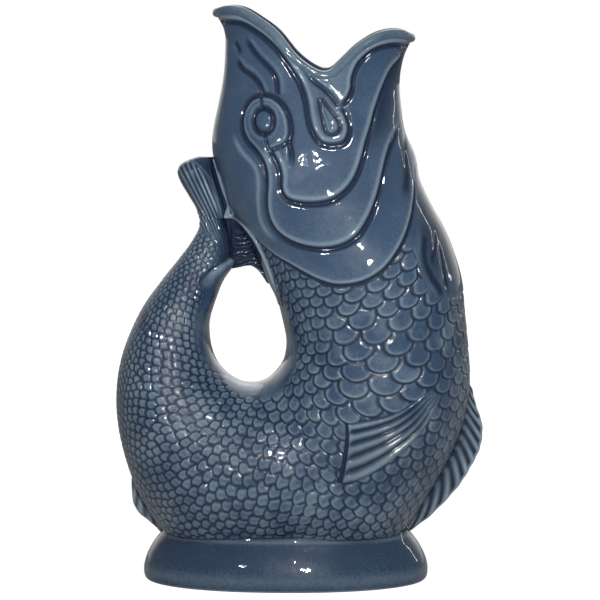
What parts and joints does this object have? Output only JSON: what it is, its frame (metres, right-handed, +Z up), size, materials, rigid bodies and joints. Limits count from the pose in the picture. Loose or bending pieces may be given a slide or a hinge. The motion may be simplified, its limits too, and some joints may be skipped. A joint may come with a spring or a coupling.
{
  "type": "fish gurgle jug",
  "caption": "Blue glazed earthenware fish jug: hollow scaled body on an oval foot, open V-shaped mouth to pour from, and a hollow tail curled up behind as the handle.",
  "frame": {"origin": "on the table under the middle of the jug's outline", "axes": "+X from the tail towards the breast and the pouring lip, +Y to the fish's left, +Z up"},
  "size_m": [0.1706, 0.098, 0.265],
  "materials": {
    "glazed_body": "glossy blue-grey glaze over white earthenware",
    "glazed_edge": "the same glaze, thin and pale where it breaks over an edge",
    "glazed_dark": "the same glaze, pooled dark in a recess"
  },
  "bodies": {
    "root": {"foot": "glazed_body", "belly_shell": "glazed_body", "breast_shell": "glazed_body", "tail_shell": "glazed_body", "head_shell": "glazed_body", "lip_bead": "glazed_edge", "tail_fin": "glazed_body", "tail_web": "glazed_body", "dorsal_fin": "glazed_dark", "belly_fin": "glazed_edge", "vent_fin": "glazed_edge", "pectoral_fin_left": "glazed_body", "pectoral_fin_right": "glazed_body", "gill_cover_left": "glazed_body", "gill_cover_right": "glazed_body", "cheek_plate_left": "glazed_body", "cheek_plate_right": "glazed_body", "face_plate_left": "glazed_body", "face_plate_right": "glazed_body", "brow_fold_left": "glazed_body", "brow_fold_right": "glazed_body", "lip_fold_left": "glazed_edge", "lip_fold_right": "glazed_edge", "eye_ring_left": "glazed_dark", "eye_ring_right": "glazed_dark", "pupil_left": "glazed_body", "pupil_right": "glazed_body"}
  },
  "joints": []
}
